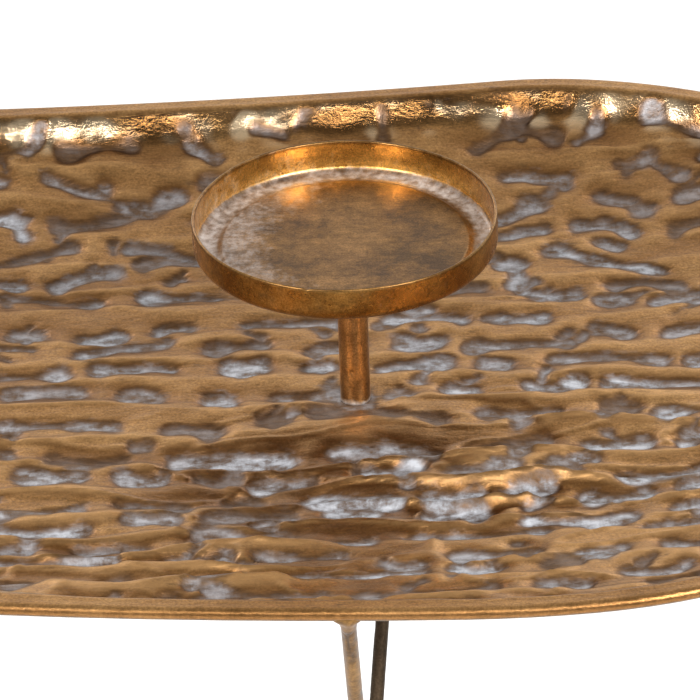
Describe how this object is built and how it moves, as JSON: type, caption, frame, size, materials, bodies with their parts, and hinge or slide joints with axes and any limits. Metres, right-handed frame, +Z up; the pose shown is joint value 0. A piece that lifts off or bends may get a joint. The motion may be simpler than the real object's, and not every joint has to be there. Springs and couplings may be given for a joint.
{
  "type": "tray table",
  "caption": "Side table with a shallow free-form hammered brass tray that lifts off a crossed-rod stand, and a round candle cup on a short stem.",
  "frame": {"origin": "on the floor, under the centre of the tray's length and width", "axes": "+Z up, +X along the tray's length towards the end nearer the candle cup, +Y to the back"},
  "size_m": [0.508, 0.346, 0.596],
  "materials": {
    "hammered_brass": "hand-hammered sheet, satin, aged brown with pale verdigris-grey in the hollows",
    "cup_brass": "spun sheet, satin, warm copper-brown with a pale bloom in the corner of the floor",
    "rod_brass": "drawn rod, dark antique lacquer rubbed bright along the edges",
    "weld_metal": "as laid, lightly dressed",
    "plated_steel": "zinc plated, dull",
    "foot_rubber": "moulded, matt"
  },
  "bodies": {
    "stand": {"support_ring": "rod_brass", "leg_front": "rod_brass", "foot_cap_front": "foot_rubber", "leg_weld_front": "weld_metal", "leg_back": "rod_brass", "foot_cap_back": "foot_rubber", "leg_weld_back": "weld_metal", "leg_left": "rod_brass", "foot_cap_left": "foot_rubber", "leg_weld_left": "weld_metal", "leg_right": "rod_brass", "foot_cap_right": "foot_rubber", "leg_weld_right": "weld_metal", "waist_weld_front_left": "weld_metal", "waist_weld_front_right": "weld_metal", "waist_weld_back_left": "weld_metal", "waist_weld_back_right": "weld_metal"},
    "tray_assembly": {"tray": "hammered_brass", "stem": "rod_brass", "stem_stud": "plated_steel", "washer": "plated_steel", "spring_washer": "plated_steel", "hex_nut": "plated_steel", "candle_cup": "cup_brass", "cup_braze": "weld_metal"}
  },
  "joints": [
    {"name": "tray_lift", "type": "slide", "parent": "stand", "child": "tray_assembly", "axis": [0, 0, 1], "range_m": [0, 0.08]}
  ]
}
